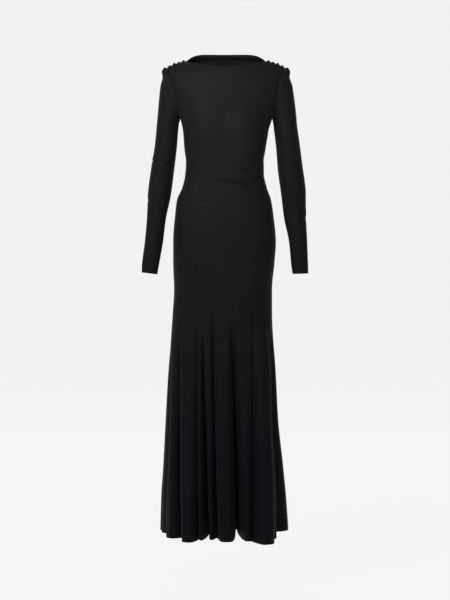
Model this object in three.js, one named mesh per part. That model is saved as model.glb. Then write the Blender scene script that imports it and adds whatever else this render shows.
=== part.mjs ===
// Long-sleeved maxi dress in black stretch jersey, worn form with no wearer inside.
// Millimetres, +Z up, front towards -Y, the wearer's left at +X.
// The origin lies midway between the two neck ends of the shoulder seams.
// "Drop" is the distance below the origin, and "turn" is the angle round a section in degrees,
// 0 at centre front, 90 at the wearer's left side, 180 at centre back.

import * as THREE from 'three';

// Driving dimensions
const WALL = 1.6;
const SEAM_GAP = 0.3;
const HEM_DROP = 1470;
const UNDERARM_DROP = 178;
const SHOULDER_TIP_DROP = 18;
const YOKE_DROP = 60;
const ARMHOLE_HALF_DEPTH = 46;
const SQUARENESS = 2.3;
const PANEL_TOP_DROP = 500;
const JERSEY = { color: 0x17151a, roughness: 0.72, metalness: 0 };

// Sections of bodice and skirt: half widths to the wearer's left and right,
// depth of front and back from the origin, and where the widest point lies
const SECTIONS = [
  { drop: 60, left: 182, right: 176, front: 90, back: 72, mid: 0 },
  { drop: 90, left: 178, right: 171, front: 96, back: 80, mid: 0 },
  { drop: 130, left: 165, right: 157, front: 102, back: 86, mid: 0 },
  { drop: 178, left: 146, right: 138, front: 106, back: 90, mid: 0 },
  { drop: 217, left: 134, right: 130, front: 106, back: 88, mid: 0 },
  { drop: 270, left: 126, right: 126, front: 100, back: 80, mid: 0 },
  { drop: 310, left: 120, right: 121, front: 94, back: 72, mid: 0 },
  { drop: 353, left: 121, right: 124, front: 88, back: 67, mid: 0 },
  { drop: 391, left: 130, right: 133, front: 90, back: 79, mid: 0 },
  { drop: 428, left: 143, right: 149, front: 93, back: 97, mid: 2 },
  { drop: 465, left: 149, right: 154, front: 95, back: 112, mid: 4 },
  { drop: 558, left: 158, right: 161, front: 98, back: 124, mid: 6 },
  { drop: 620, left: 154, right: 161, front: 98, back: 119, mid: 6 },
  { drop: 707, left: 146, right: 158, front: 96, back: 107, mid: 4 },
  { drop: 775, left: 146, right: 162, front: 94, back: 100, mid: 3 },
  { drop: 850, left: 149, right: 167, front: 93, back: 99, mid: 3 },
  { drop: 961, left: 155, right: 174, front: 94, back: 106, mid: 6 },
  { drop: 1110, left: 161, right: 180, front: 98, back: 120, mid: 14 },
  { drop: 1258, left: 175, right: 186, front: 104, back: 138, mid: 25 },
  { drop: 1367, left: 184, right: 192, front: 109, back: 152, mid: 33 },
  { drop: 1470, left: 190, right: 194, front: 113, back: 164, mid: 40 },
];

// Bust shape, eased into the front by its cut
const BUST = { drop: 214, across: 66, height: 46, width: 44, out: 18 };

// Neckline and shoulder seam
const NECK = { left: 128, right: 122, front: 78, frontDrop: 22, back: 56, backRise: 31 };
const SHOULDER_TIP = { left: 186, right: 180 };
const NECK_SHARE = { left: 0.62, right: 0.62 };
const SHOULDER_GATHERS = { count: 4, out: 3 };

// Seam between the middle panels and the flared side panels: distance from centre at each drop
const PANEL_SEAMS = [
  { drop: 500, front: 158, back: 158 },
  { drop: 507, front: 139, back: 142 },
  { drop: 520, front: 116, back: 121 },
  { drop: 538, front: 103, back: 108 },
  { drop: 560, front: 94, back: 99 },
  { drop: 585, front: 89, back: 94 },
  { drop: 657, front: 86, back: 91 },
  { drop: 741, front: 85, back: 90 },
  { drop: 1110, front: 86, back: 90 },
  { drop: 1470, front: 84, back: 90 },
];

// Folds of the skirt, round from the wearer's right side by the front, left side and back.
// Turn where the fold begins and at the hem, the drop it begins at, how far it stands out (or in)
// at the hem, and how far the hem is lifted there. A seam fold keeps to its panel seam.
const FOLD_TOP_DROP = 740;
const FOLDS = [
  { name: 'right_side', top: -92, hem: -97, starts: 900, out: 5, lift: 6 },
  { name: 'right_side_dip', top: -76, hem: -78, starts: 860, out: -12, lift: 6 },
  { name: 'right_front_swell', top: -66, hem: -60, starts: 860, out: 2, lift: 0 },
  { name: 'right_front_shade', top: -58, hem: -46, starts: 800, out: -42, lift: 3 },
  { name: 'right_front_lobe', top: -42, hem: -30, starts: 780, out: 22, lift: -3 },
  { name: 'right_front_seam', seam: 'front', side: -1, starts: 760, out: -14, lift: 2 },
  { name: 'slim_lobe', top: -26, hem: -19, starts: 800, out: 0, lift: 2 },
  { name: 'first_pleat', top: -22.3, hem: -15, starts: 800, out: -76, lift: 15 },
  { name: 'second_lobe', top: -16, hem: -9.8, starts: 790, out: -8, lift: 3 },
  { name: 'second_pleat', top: -11, hem: -6.2, starts: 740, out: -52, lift: 2 },
  { name: 'middle_lobe', top: -2.5, hem: 0.5, starts: 800, out: 15, lift: 0 },
  { name: 'deep_pleat', top: 5.9, hem: 12, starts: 770, out: -98, lift: 27 },
  { name: 'left_lobe', top: 20, hem: 18, starts: 800, out: 6, lift: 0 },
  { name: 'left_front_seam', seam: 'front', side: 1, starts: 760, out: -8, lift: 1 },
  { name: 'left_front_lobe', top: 50, hem: 31, starts: 780, out: 50, lift: -6 },
  { name: 'left_front_flank', top: 64, hem: 46, starts: 790, out: 4, lift: 2 },
  { name: 'left_side_pleat', top: 76, hem: 62, starts: 790, out: -28, lift: 14 },
  { name: 'left_side_lobe', top: 96, hem: 98, starts: 820, out: 10, lift: 8 },
  { name: 'left_back_pleat', top: 118, hem: 133, starts: 800, out: -34, lift: 10 },
  { name: 'left_back_lobe', top: 136, hem: 146, starts: 820, out: 20, lift: 2 },
  { name: 'left_back_seam', seam: 'back', side: 1, starts: 780, out: -12, lift: 3 },
  { name: 'back_lobe_one', top: 156, hem: 163, starts: 820, out: 16, lift: 0 },
  { name: 'back_pleat_one', top: 164, hem: 168.5, starts: 770, out: -72, lift: 12 },
  { name: 'back_lobe_two', top: 173, hem: 174.5, starts: 800, out: 12, lift: 1 },
  { name: 'back_pleat_two', top: 181, hem: 180.5, starts: 840, out: -46, lift: 5 },
  { name: 'back_lobe_three', top: 189, hem: 186.5, starts: 800, out: 16, lift: -2 },
  { name: 'back_pleat_three', top: 197, hem: 192.5, starts: 780, out: -88, lift: 14 },
  { name: 'back_lobe_four', top: 205, hem: 198, starts: 830, out: 15, lift: 0 },
  { name: 'right_back_seam', seam: 'back', side: -1, starts: 780, out: -10, lift: 3 },
  { name: 'right_back_lobe', top: 224, hem: 214, starts: 820, out: 26, lift: 0 },
  { name: 'right_back_pleat', top: 242, hem: 231, starts: 800, out: -38, lift: 12 },
  { name: 'right_back_side_lobe', top: 256, hem: 250, starts: 820, out: 18, lift: 8 },
];

// Sleeves: inner and outer edge seen from the front, at their own drops,
// half the depth front to back, and where the middle lies
const SLEEVES = {
  left: [
    { inner: 147, innerDrop: 179, outer: 194, outerDrop: 19, half: 46, mid: 0 },
    { inner: 147.5, innerDrop: 181, outer: 201, outerDrop: 33, half: 46, mid: 1 },
    { inner: 148, innerDrop: 183, outer: 200, outerDrop: 48, half: 46, mid: 2 },
    { inner: 148.5, innerDrop: 186, outer: 209, outerDrop: 74, half: 46.5, mid: 3 },
    { inner: 149.5, innerDrop: 190, outer: 215, outerDrop: 112, half: 46.5, mid: 4 },
    { inner: 150.5, innerDrop: 197, outer: 220, outerDrop: 152, half: 46, mid: 5 },
    { inner: 152, innerDrop: 212, outer: 224, outerDrop: 196, half: 46, mid: 5 },
    { inner: 158, innerDrop: 260, outer: 232, outerDrop: 253, half: 45, mid: 6 },
    { inner: 164, innerDrop: 335, outer: 242, outerDrop: 329, half: 43, mid: 8 },
    { inner: 174, innerDrop: 409, outer: 251, outerDrop: 404, half: 41, mid: 6 },
    { inner: 183, innerDrop: 484, outer: 251.5, outerDrop: 479, half: 36, mid: 0 },
    { inner: 198, innerDrop: 558, outer: 254.5, outerDrop: 554, half: 31, mid: -8 },
    { inner: 205, innerDrop: 634, outer: 257, outerDrop: 631, half: 26.5, mid: -16 },
    { inner: 209, innerDrop: 658, outer: 257.5, outerDrop: 656, half: 25, mid: -19 },
  ],
  right: [
    { inner: 139, innerDrop: 179, outer: 188, outerDrop: 19, half: 46, mid: 0 },
    { inner: 139.5, innerDrop: 181, outer: 195, outerDrop: 33, half: 46, mid: 1 },
    { inner: 140.5, innerDrop: 183, outer: 193, outerDrop: 48, half: 46, mid: 2 },
    { inner: 141.5, innerDrop: 186, outer: 200, outerDrop: 74, half: 46.5, mid: 3 },
    { inner: 142.5, innerDrop: 190, outer: 204.5, outerDrop: 112, half: 46.5, mid: 4 },
    { inner: 143.5, innerDrop: 197, outer: 208, outerDrop: 152, half: 46, mid: 5 },
    { inner: 145, innerDrop: 212, outer: 212, outerDrop: 196, half: 46, mid: 5 },
    { inner: 149, innerDrop: 262, outer: 217.5, outerDrop: 254, half: 45, mid: 6 },
    { inner: 158, innerDrop: 337, outer: 229.5, outerDrop: 329, half: 43, mid: 8 },
    { inner: 167.5, innerDrop: 411, outer: 239, outerDrop: 404, half: 41, mid: 6 },
    { inner: 183, innerDrop: 486, outer: 242, outerDrop: 479, half: 36, mid: 0 },
    { inner: 192, innerDrop: 560, outer: 248, outerDrop: 554, half: 31, mid: -8 },
    { inner: 205, innerDrop: 635, outer: 257, outerDrop: 629, half: 26.5, mid: -16 },
    { inner: 209, innerDrop: 659, outer: 257.5, outerDrop: 653, half: 25, mid: -19 },
  ],
};
const CAP_GATHERS = { count: 8, out: 3, spread: 78 };

// How finely the cloth is divided: rows at these drops, and steps between fold lines
const YOKE_ROWS = [0, 11, 24, 40, 60, 84, 112, 138, 158, 171, 178];
const BODICE_ROWS = [217, 262, 308, 353, 396, 440, 472, 500];
const HIP_ROWS = [507, 520, 538, 560, 600, 657, 720];
const SKIRT_ROWS = [780, 840, 910, 990, 1080, 1170, 1260, 1340, 1410, 1470];
const BODY_ROWS = [...YOKE_ROWS, ...BODICE_ROWS, ...HIP_ROWS, ...SKIRT_ROWS];
const SHOULDER_STEPS = 8;
const CHORD_SPLITS = 2;
const SLEEVE_SPLIT_DROP = 60;
const SLEEVE_STEPS_PER_SECTION = [1, 1, 1, 1, 1, 1, 1, 1, 2, 2, 2, 2, 1];

const vec = (x, y, z) => new THREE.Vector3(x, y, z);
const UP = vec(0, 0, 1);
const BACKWARD = vec(0, 1, 0);
const clamp01 = (t) => Math.min(1, Math.max(0, t));
const mix = (a, b, t) => a + (b - a) * t;
const radians = THREE.MathUtils.degToRad;

function ease(t) {
  const s = clamp01(t);
  return s * s * (3 - 2 * s);
}

// A smooth curve through one column of a table, level where the column turns back
function read(table, column, drop, key = 'drop') {
  const last = table.length - 1;
  if (drop <= table[0][key]) return table[0][column];
  if (drop >= table[last][key]) return table[last][column];
  const k = table.findIndex((row) => row[key] > drop) - 1;
  const slope = (i) => (table[i + 1][column] - table[i][column]) / (table[i + 1][key] - table[i][key]);
  const tangent = (i) => {
    if (i === 0) return slope(0);
    if (i === last) return slope(last - 1);
    const before = slope(i - 1);
    const after = slope(i);
    return before * after <= 0 ? 0 : (2 * before * after) / (before + after);
  };
  const step = table[k + 1][key] - table[k][key];
  const t = (drop - table[k][key]) / step;
  const t2 = t * t;
  const t3 = t2 * t;
  return (
    (2 * t3 - 3 * t2 + 1) * table[k][column] +
    (t3 - 2 * t2 + t) * step * tangent(k) +
    (3 * t2 - 2 * t3) * table[k + 1][column] +
    (t3 - t2) * step * tangent(k + 1)
  );
}

// Where a panel seam lies at a drop, as a turn from centre front (or centre back) to the side
function seamTurn(face, side, drop) {
  if (drop <= PANEL_TOP_DROP) return 90;
  const across = read(PANEL_SEAMS, face, drop);
  const half = read(SECTIONS, side > 0 ? 'left' : 'right', drop);
  const share = clamp01((across / half) ** (SQUARENESS / 2));
  return THREE.MathUtils.radToDeg(Math.asin(share));
}

function foldTurn(fold, drop) {
  if (fold.seam === 'front') return fold.side * seamTurn('front', fold.side, drop);
  if (fold.seam === 'back') return 180 - fold.side * seamTurn('back', fold.side, drop);
  return mix(fold.top, fold.hem, clamp01((drop - FOLD_TOP_DROP) / (HEM_DROP - FOLD_TOP_DROP)));
}

// How far the cloth stands out at a turn, and how far the hem is lifted there:
// broad rounded lobes with narrower valleys between them
function foldAt(turn, drop) {
  if (drop <= FOLD_TOP_DROP) return { out: 0, lift: 0 };
  const turns = FOLDS.map((fold) => foldTurn(fold, drop));
  let here = turn;
  if (here < turns[0]) here += 360;
  const next = turns.findIndex((value) => value > here);
  const b = next < 0 ? 0 : next;
  const a = b === 0 ? FOLDS.length - 1 : b - 1;
  const end = b === 0 ? turns[0] + 360 : turns[b];
  const t = clamp01((here - turns[a]) / (end - turns[a]));
  const grown = (fold) => {
    const along = clamp01((drop - fold.starts) / (HEM_DROP - fold.starts));
    return fold.out * along ** 0.8 * ease(along * 6);
  };
  const outA = grown(FOLDS[a]);
  const outB = grown(FOLDS[b]);
  const narrowness = mix(2.6, 1.7, clamp01((drop - FOLD_TOP_DROP) / (HEM_DROP - FOLD_TOP_DROP)));
  const towardsValley = outB < outA ? t : 1 - t;
  const dip = (1 - Math.cos(Math.PI * towardsValley ** narrowness)) / 2;
  const hang = clamp01((drop - 1000) / (HEM_DROP - 1000)) ** 2;
  return {
    out: mix(Math.max(outA, outB), Math.min(outA, outB), dip),
    lift: mix(FOLDS[a].lift, FOLDS[b].lift, t) * hang,
  };
}

// A point of bodice or skirt at or below the yoke
function bodyPoint(turn, drop) {
  const angle = radians(turn);
  const s = Math.sin(angle);
  const c = Math.cos(angle);
  const half = read(SECTIONS, s >= 0 ? 'left' : 'right', drop);
  const mid = read(SECTIONS, 'mid', drop);
  const depth = c >= 0 ? read(SECTIONS, 'front', drop) + mid : read(SECTIONS, 'back', drop) - mid;
  const x = half * Math.sign(s) * Math.abs(s) ** (2 / SQUARENESS);
  const y = -depth * Math.sign(c) * Math.abs(c) ** (2 / SQUARENESS);
  const out = vec(
    (Math.sign(x) * Math.abs(x / half) ** (SQUARENESS - 1)) / half,
    (Math.sign(y) * Math.abs(y / depth) ** (SQUARENESS - 1)) / depth,
    0,
  ).normalize();
  const fold = foldAt(turn, drop);
  const point = vec(x, mid + y, fold.lift - drop).addScaledVector(out, fold.out);
  if (c > 0) {
    const across = (Math.abs(x) - BUST.across) / BUST.width;
    const down = (drop - BUST.drop) / BUST.height;
    point.y -= BUST.out * Math.exp(-across * across - down * down) * c;
  }
  return point;
}

// Turn of the armhole edge at a drop: the armhole is an oval seen from the side
function armholeTurn(face, drop) {
  if (drop >= UNDERARM_DROP) return 90;
  const middle = (SHOULDER_TIP_DROP + UNDERARM_DROP) / 2;
  const reach = (UNDERARM_DROP - SHOULDER_TIP_DROP) / 2;
  const away = (drop - middle) / reach;
  const depth = ARMHOLE_HALF_DEPTH * Math.sqrt(Math.max(0, 1 - away * away));
  const share = (depth / read(SECTIONS, face, drop)) ** (SQUARENESS / 2);
  return THREE.MathUtils.radToDeg(Math.acos(share));
}

// A point at a share of the way from centre (0) to the armhole or side seam (1 left, -1 right)
function facePoint(face, share, drop) {
  const turn = share * armholeTurn(face, drop);
  return bodyPoint(face === 'front' ? turn : 180 - turn, drop);
}

function gatherWave(along, count) {
  return (1 - Math.cos(2 * Math.PI * count * along)) / 2;
}

// The top edge of the front or back: neckline between the neck ends, then the shoulder seam
function topEdge(face, share) {
  const side = share >= 0 ? 'left' : 'right';
  const sign = Math.sign(share) || 1;
  const neck = NECK[side];
  const along = Math.abs(share) / NECK_SHARE[side];
  if (along >= 1) {
    const q = (Math.abs(share) - NECK_SHARE[side]) / (1 - NECK_SHARE[side]);
    const bump = SHOULDER_GATHERS.out * gatherWave(q, SHOULDER_GATHERS.count);
    return vec(sign * mix(neck, SHOULDER_TIP[side], q), 0, 2 - (SHOULDER_TIP_DROP + 2) * q ** 1.25 + bump);
  }
  if (face === 'front') {
    const dip = (1 - along ** 1.65) ** (1 / 1.65);
    return vec(sign * neck * along, -NECK.front * dip, 2 - (NECK.frontDrop + 2) * dip ** 1.4);
  }
  const dip = (1 - along ** 2.2) ** (1 / 2.2);
  return vec(sign * neck * along, NECK.back * dip, mix(NECK.backRise, 2, along ** 6));
}

// The cloth above the yoke runs from the top edge to the yoke and meets both smoothly
function clothPoint(face, share, drop) {
  if (drop >= YOKE_DROP) return facePoint(face, share, drop);
  const t = drop / YOKE_DROP;
  const top = topEdge(face, share);
  const yoke = facePoint(face, share, YOKE_DROP);
  const arrive = facePoint(face, share, YOKE_DROP + 1).sub(yoke).multiplyScalar(YOKE_DROP);
  const free = yoke.clone().sub(top).multiplyScalar(1.5).addScaledVector(arrive, -0.5);
  const forward = face === 'front' ? -1 : 1;
  const overShoulder = vec(0, forward * 66, -16);
  const neckShare = NECK_SHARE[share >= 0 ? 'left' : 'right'];
  const onShoulder = ease((Math.abs(share) - neckShare + 0.14) / 0.14);
  const leave = free.lerp(overShoulder, onShoulder);
  const t2 = t * t;
  const t3 = t2 * t;
  const point = top
    .multiplyScalar(2 * t3 - 3 * t2 + 1)
    .addScaledVector(leave, t3 - 2 * t2 + t)
    .addScaledVector(yoke, 3 * t2 - 2 * t3)
    .addScaledVector(arrive, t3 - t2);
  if (Math.abs(share) > neckShare && drop > 0) {
    const q = (Math.abs(share) - neckShare) / (1 - neckShare);
    const height = SHOULDER_GATHERS.out * gatherWave(q, SHOULDER_GATHERS.count);
    const lean = radians(80) * t;
    point.addScaledVector(vec(0, forward * Math.sin(lean), Math.cos(lean)), height * (1 - t));
  }
  return point;
}

// Unit direction out of the cloth, from two directions along it
function outward(along, down, guide) {
  const normal = along.clone().cross(down).normalize();
  return normal.dot(guide) < 0 ? normal.negate() : normal;
}

function clothNormal(face, share, drop) {
  const reach = 0.002;
  const inner = Math.sign(share) * Math.min(Math.abs(share), 1 - reach);
  const along = clothPoint(face, inner + reach, drop).sub(clothPoint(face, inner - reach, drop));
  const above = Math.max(0, drop - 0.5);
  const below = Math.min(HEM_DROP, drop + 0.5);
  const down = clothPoint(face, inner, below).sub(clothPoint(face, inner, above));
  const middle = clothPoint(face, inner, drop);
  const guide = vec(middle.x, middle.y, drop < YOKE_DROP ? 60 : 0);
  if (drop > FOLD_TOP_DROP) {
    const turn = inner * 90;
    return outwardFold(face === 'front' ? turn : 180 - turn, drop, along, down);
  }
  return outward(along, down, guide);
}

// In the folds the outward side follows the direction of travel round the skirt
function outwardFold(turn, drop, along, down) {
  const normal = along.clone().cross(down).normalize();
  const ring = bodyPoint(turn + 0.2, drop).sub(bodyPoint(turn - 0.2, drop));
  const side = ring.cross(vec(0, 0, 1));
  return normal.dot(side) < 0 ? normal.negate() : normal;
}

// The armhole loop of one side, from the underarm up the front, over the tip and down the back
function armholeLoop(side) {
  const sign = side === 'left' ? 1 : -1;
  const drops = YOKE_ROWS.filter((drop) => drop > 0 && drop < UNDERARM_DROP);
  const front = [...drops].reverse().map((drop) => clothPoint('front', sign, drop));
  const back = drops.map((drop) => clothPoint('back', sign, drop));
  const underarm = bodyPoint(sign * 90, UNDERARM_DROP);
  const tip = topEdge('front', sign);
  const points = [underarm, ...front, tip, ...back];
  const axis = tip.clone().sub(underarm).normalize();
  const armward = BACKWARD.clone().cross(axis).normalize().multiplyScalar(sign);
  const centre = underarm.clone().lerp(tip, 0.5);
  const outwards = points.map((point, k) => {
    const before = points[(k + points.length - 1) % points.length];
    const after = points[(k + 1) % points.length];
    return outward(after.clone().sub(before), armward, point.clone().sub(centre));
  });
  return { points, outwards, armward, axis };
}

const ARMHOLES = { left: armholeLoop('left'), right: armholeLoop('right') };

// One edge point of a panel: where it is, which way is out, and how it backs off from the seam
function armholeEdge(side, face, drop) {
  const loop = ARMHOLES[side];
  const drops = YOKE_ROWS.filter((value) => value > 0 && value < UNDERARM_DROP);
  const count = drops.length;
  let k = 0;
  if (drop === 0) k = count + 1;
  else if (drop < UNDERARM_DROP) {
    const place = drops.indexOf(drop);
    k = face === 'front' ? count - place : count + 2 + place;
  }
  return { point: loop.points[k].clone(), out: loop.outwards[k].clone(), armward: loop.armward.clone() };
}

// A coordinate kept off the middle between two steps of 1e-8 mm, so that it always rounds one way
function steady(value) {
  let kept = Math.fround(value);
  while (Math.abs(Math.abs((kept * 1e8) % 1) - 0.5) < 0.02) kept = Math.fround(kept + 0.0005);
  return kept;
}

// Closed solid from rows of outer and inner points; a row of one point closes to an apex
function clothSolid(name, outer, inner, closedRound = false) {
  const positions = [];
  const place = (rows) =>
    rows.map((row) =>
      row.map((point) => {
        positions.push(steady(point.x), steady(point.y), steady(point.z));
        return positions.length / 3 - 1;
      }),
    );
  const a = place(outer);
  const b = place(inner);
  const triangles = [];
  const quad = (p, q, r, s) => {
    if (new Set([p, q, r]).size === 3) triangles.push(p, q, r);
    if (new Set([p, r, s]).size === 3) triangles.push(p, r, s);
  };
  const at = (row, j) => row[row.length === 1 ? 0 : j % row.length];
  const widest = Math.max(...a.map((row) => row.length));
  const steps = closedRound ? widest : widest - 1;
  for (let i = 0; i + 1 < a.length; i += 1) {
    for (let j = 0; j < steps; j += 1) {
      quad(at(a[i], j), at(a[i + 1], j), at(a[i + 1], j + 1), at(a[i], j + 1));
      quad(at(b[i], j), at(b[i], j + 1), at(b[i + 1], j + 1), at(b[i + 1], j));
    }
    if (!closedRound) {
      quad(at(a[i], 0), at(b[i], 0), at(b[i + 1], 0), at(a[i + 1], 0));
      quad(at(a[i], steps), at(a[i + 1], steps), at(b[i + 1], steps), at(b[i], steps));
    }
  }
  const end = a.length - 1;
  for (let j = 0; j < steps; j += 1) {
    quad(at(a[0], j), at(a[0], j + 1), at(b[0], j + 1), at(b[0], j));
    quad(at(a[end], j), at(b[end], j), at(b[end], j + 1), at(a[end], j + 1));
  }
  const p = (k) => vec(positions[3 * k], positions[3 * k + 1], positions[3 * k + 2]);
  let volume = 0;
  for (let k = 0; k < triangles.length; k += 3) {
    volume += p(triangles[k]).dot(p(triangles[k + 1]).cross(p(triangles[k + 2])));
  }
  if (volume < 0) triangles.reverse();
  const geometry = new THREE.BufferGeometry();
  geometry.setAttribute('position', new THREE.Float32BufferAttribute(positions, 3));
  geometry.setIndex(triangles);
  geometry.computeVertexNormals();
  const mesh = new THREE.Mesh(geometry, new THREE.MeshStandardMaterial(JERSEY));
  mesh.name = name;
  return mesh;
}

// Columns between one fold and the next
const FOLD_STEPS = 3;

// Shares of the half width for the columns of a middle panel: evenly down the bodice,
// on the neck ends at the top, and on the fold lines in the skirt
function panelColumns(face, drop) {
  const inPanel = FOLDS.filter((fold) => !fold.seam && isMiddleFold(fold, face));
  const lines = foldLines(face, inPanel, drop);
  const even = lines.map((line, k) => mix(-1, 1, k / (lines.length - 1)));
  const shares = even.map((share) => {
    const side = share >= 0 ? 'left' : 'right';
    const cut = SHOULDER_STEPS / (lines.length - 1) * 2;
    const neckPart = 1 - cut;
    const size = Math.abs(share);
    const top = size <= neckPart
      ? (size / neckPart) * NECK_SHARE[side]
      : NECK_SHARE[side] + ((size - neckPart) / cut) * (1 - NECK_SHARE[side]);
    return Math.sign(share) * top;
  });
  const toEven = ease((drop - YOKE_DROP) / 200);
  const toFolds = ease((drop - 600) / (FOLD_TOP_DROP - 600));
  return even.map((share, k) => mix(mix(shares[k], share, toEven), lines[k], toFolds));
}

function isMiddleFold(fold, face) {
  const away = face === 'front' ? Math.abs(fold.hem) : Math.abs(180 - fold.hem);
  return away < 22;
}

// Columns on each fold line and between them, as shares of the panel's half width
function foldLines(face, folds, drop) {
  const at = Math.max(drop, FOLD_TOP_DROP);
  const limits = { left: seamTurn(face, 1, at), right: seamTurn(face, -1, at) };
  const share = (turn) => {
    const local = face === 'front' ? turn : 180 - turn;
    return local >= 0 ? local / limits.left : local / limits.right;
  };
  const marks = [-1, ...folds.map((fold) => share(foldTurn(fold, at))).sort((a, b) => a - b), 1];
  return spread(marks, FOLD_STEPS);
}


function spread(marks, steps) {
  const result = [marks[0]];
  for (let k = 0; k + 1 < marks.length; k += 1) {
    for (let i = 1; i <= steps; i += 1) {
      result.push(mix(marks[k], marks[k + 1], i / steps));
    }
  }
  return result;
}

// Backs an edge point off along the cloth, square to its seam
function seamBackOff(out, seamDirection, away) {
  const across = out.clone().cross(seamDirection).normalize();
  if (across.dot(away) < 0) across.negate();
  return across.multiplyScalar(SEAM_GAP / 2);
}

function sideSeamOut(sign, drop) {
  const down = bodyPoint(sign * 90, drop + 1).sub(bodyPoint(sign * 90, drop - 1));
  return outward(BACKWARD, down, vec(sign, 0, 0));
}

// Turn, point, outward direction and seam back-off where a panel seam lies at a drop
function seamEdge(face, sign, drop, away) {
  const turnOf = (at) => {
    const turn = sign * seamTurn(face, sign, Math.min(HEM_DROP, Math.max(PANEL_TOP_DROP, at)));
    return face === 'front' ? turn : 180 - turn;
  };
  const turn = turnOf(drop);
  const point = bodyPoint(turn, drop);
  const low = Math.min(drop + 2, HEM_DROP);
  const high = Math.max(drop - 2, PANEL_TOP_DROP);
  const along = bodyPoint(turn + 0.2, drop).sub(bodyPoint(turn - 0.2, drop));
  const down = bodyPoint(turn, low).sub(bodyPoint(turn, high));
  const out = outward(along, down, vec(point.x, point.y, 0));
  const seam = bodyPoint(turnOf(low), low).sub(bodyPoint(turnOf(high), high));
  return { point, out, shift: seamBackOff(out, seam, away) };
}

// The inner points lie a wall's thickness in from the outer ones. At a sharp valley they lie on the
// line that halves it, further in, so that neither flank of the valley turns inside out.
const SHARP = 0.7;
const MOST_MITRE = 3;

function layer(rows) {
  const last = rows.length - 1;
  const pointAt = (i, k) => rows[i][Math.min(k, rows[i].length - 1)].point;
  const halving = (i, k) => {
    const down = pointAt(Math.min(i + 1, last), k).clone().sub(pointAt(Math.max(i - 1, 0), k));
    const arrive = pointAt(i, k).clone().sub(pointAt(i, k - 1)).normalize();
    const leave = pointAt(i, k + 1).clone().sub(pointAt(i, k)).normalize();
    const flank = arrive.clone().cross(down).normalize();
    const square = leave.clone().cross(down).normalize().add(flank).normalize();
    return { square, share: square.dot(flank), sharp: arrive.dot(leave) < SHARP };
  };
  const inner = rows.map((row, i) => {
    const folded = row[0].point.z < -FOLD_TOP_DROP;
    const middle = row.map((edge, k) => (folded && k > 0 && k < row.length - 1 ? halving(i, k) : null));
    const sense = Math.sign(middle.reduce((sum, at, k) => (at ? sum + at.square.dot(row[k].out) : sum), 0));
    return row.map((edge, k) => {
      const at = middle[k];
      if (!at || !at.sharp) return edge.point.clone().addScaledVector(edge.out, -WALL);
      const depth = Math.min(MOST_MITRE, 1 / at.share);
      return edge.point.clone().addScaledVector(at.square, -sense * WALL * depth);
    });
  });
  return { outer: rows.map((row) => row.map((edge) => edge.point)), inner };
}

// Front and back: one piece each, neckline to hem
function middlePanel(name, face) {
  const forward = face === 'front' ? -1 : 1;
  const rows = BODY_ROWS.map((drop) => {
    const shares = panelColumns(face, drop);
    return shares.map((share, k) => {
      const edge = k === 0 || k === shares.length - 1;
      const sign = share < 0 ? -1 : 1;
      const side = sign > 0 ? 'left' : 'right';
      if (edge && drop <= UNDERARM_DROP) {
        const hole = armholeEdge(side, face, drop);
        hole.point.addScaledVector(hole.armward, -SEAM_GAP / 2);
        if (drop === 0 || drop === UNDERARM_DROP) hole.point.y += (forward * SEAM_GAP) / 2;
        if (drop === UNDERARM_DROP) hole.out.add(sideSeamOut(sign, drop)).normalize();
        return hole;
      }
      if (edge && drop <= PANEL_TOP_DROP) {
        const point = bodyPoint(sign * 90, drop);
        point.y += (forward * SEAM_GAP) / 2;
        return { point, out: sideSeamOut(sign, drop) };
      }
      if (edge) {
        const seam = seamEdge(face, sign, drop, vec(-sign, 0, 0));
        return { point: seam.point.add(seam.shift), out: seam.out };
      }
      if (drop > PANEL_TOP_DROP) {
        const limit = seamTurn(face, sign, drop) / 90;
        const point = clothPoint(face, share * limit, drop);
        return { point, out: clothNormal(face, share * limit, drop) };
      }
      const point = clothPoint(face, share, drop);
      if (drop === 0 && Math.abs(share) >= NECK_SHARE[side] - 0.001) {
        const reach = 0.004;
        const along = topEdge(face, share + sign * reach).sub(topEdge(face, share - sign * reach));
        point.y += (forward * SEAM_GAP) / 2;
        return { point, out: outward(along, BACKWARD, UP) };
      }
      return { point, out: clothNormal(face, share, drop) };
    });
  });
  const { outer, inner } = layer(rows);
  return clothSolid(name, outer, inner);
}

// Flared side panels: a point at the side seam, curving in to the thigh and down to the hem
const SIDE_ROWS = BODY_ROWS.filter((drop) => drop >= PANEL_TOP_DROP);

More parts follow.
